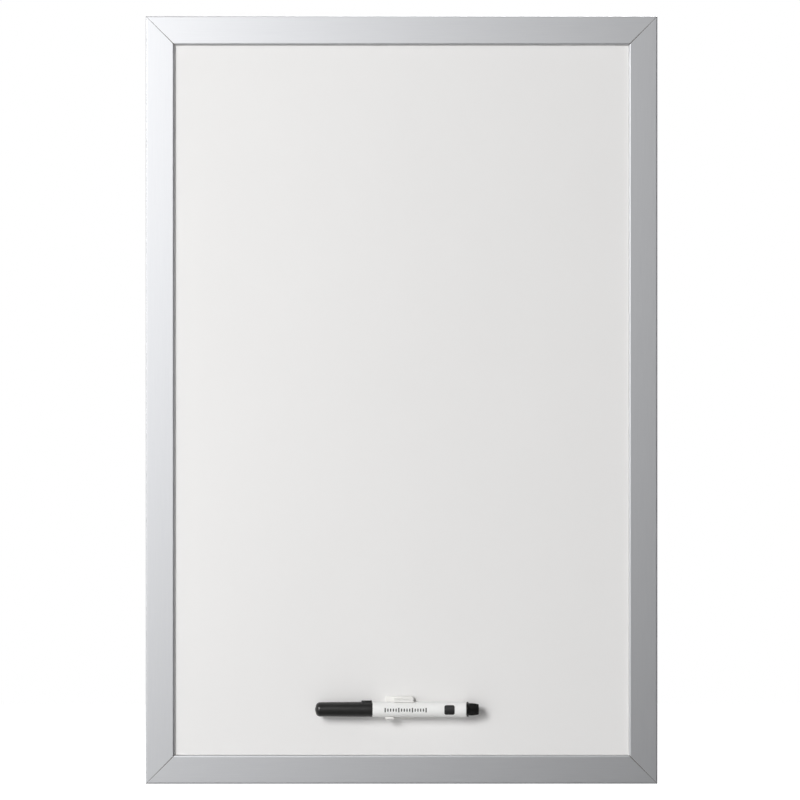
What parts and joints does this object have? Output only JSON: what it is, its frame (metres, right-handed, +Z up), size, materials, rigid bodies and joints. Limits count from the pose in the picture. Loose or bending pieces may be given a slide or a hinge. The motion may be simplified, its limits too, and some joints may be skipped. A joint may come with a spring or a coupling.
{
  "type": "magnetic whiteboard",
  "caption": "Framed magnetic whiteboard, portrait, with mitred silver rails, a toothed wall hanger and a capped dry-erase marker in a sliding magnetic clip.",
  "frame": {"origin": "on the wall plane, at the middle notch of the upper hanger, where a hook holds the board", "axes": "+X to the right seen from the front, +Y into the wall, +Z up; the board hangs below the origin and its face looks along -Y"},
  "size_m": [0.4, 0.0304, 0.6001],
  "materials": {
    "silver_foil": "satin",
    "white_lacquered_steel": "gloss",
    "softboard": "matte",
    "grey_board": "matte",
    "zinc_plated_steel": "satin",
    "screw_steel": "satin",
    "bumper_rubber": "satin",
    "nickel_plated_magnet": "gloss",
    "clip_white_plastic": "satin",
    "barrel_white_plastic": "gloss",
    "black_plastic": "satin",
    "nib_felt": "matte",
    "reservoir_fibre": "matte"
  },
  "bodies": {
    "board_body": {"rail_top": "silver_foil", "rail_bottom": "silver_foil", "rail_left": "silver_foil", "rail_right": "silver_foil", "writing_sheet": "white_lacquered_steel", "core_board": "softboard", "backing_sheet": "grey_board", "v_nail_top_left_outer": "zinc_plated_steel", "v_nail_top_left_inner": "zinc_plated_steel", "v_nail_top_right_outer": "zinc_plated_steel", "v_nail_top_right_inner": "zinc_plated_steel", "v_nail_bottom_left_outer": "zinc_plated_steel", "v_nail_bottom_left_inner": "zinc_plated_steel", "v_nail_bottom_right_outer": "zinc_plated_steel", "v_nail_bottom_right_inner": "zinc_plated_steel", "retaining_point_top_1": "zinc_plated_steel", "retaining_point_top_2": "zinc_plated_steel", "retaining_point_bottom_1": "zinc_plated_steel", "retaining_point_bottom_2": "zinc_plated_steel", "retaining_point_left_1": "zinc_plated_steel", "retaining_point_left_2": "zinc_plated_steel", "retaining_point_left_3": "zinc_plated_steel", "retaining_point_right_1": "zinc_plated_steel", "retaining_point_right_2": "zinc_plated_steel", "retaining_point_right_3": "zinc_plated_steel", "hanger_portrait": "zinc_plated_steel", "hanger_portrait_screw_left": "screw_steel", "hanger_portrait_screw_right": "screw_steel", "hanger_landscape": "zinc_plated_steel", "hanger_landscape_screw_left": "screw_steel", "hanger_landscape_screw_right": "screw_steel", "bumper_top_left": "bumper_rubber", "bumper_top_right": "bumper_rubber", "bumper_bottom_left": "bumper_rubber", "bumper_bottom_right": "bumper_rubber"},
    "clip_magnet_body": {"clip_magnet": "nickel_plated_magnet"},
    "clip_body": {"pen_clip": "clip_white_plastic"},
    "marker_body": {"marker_barrel": "barrel_white_plastic", "nib_holder": "black_plastic", "marker_nib": "nib_felt", "ink_reservoir": "reservoir_fibre", "marker_end_plug": "black_plastic"},
    "cap_body": {"marker_cap": "black_plastic"}
  },
  "joints": [
    {"name": "clip_slide", "type": "slide", "parent": "board_body", "child": "clip_magnet_body", "axis": [0, 0, 1], "range_m": [-0.0232, 0.5038]},
    {"name": "clip_turn", "type": "hinge", "parent": "clip_magnet_body", "child": "clip_body", "pos_m": [-0.0017, -0.0155, -0.53015], "axis": [0, 1, 0], "continuous": true},
    {"name": "marker_slide", "type": "slide", "parent": "clip_body", "child": "marker_body", "axis": [1, 0, 0], "range_m": [-0.0735, 0.0168]},
    {"name": "cap_pull", "type": "slide", "parent": "marker_body", "child": "cap_body", "axis": [-1, 0, 0], "range_m": [0, 0.03]}
  ]
}
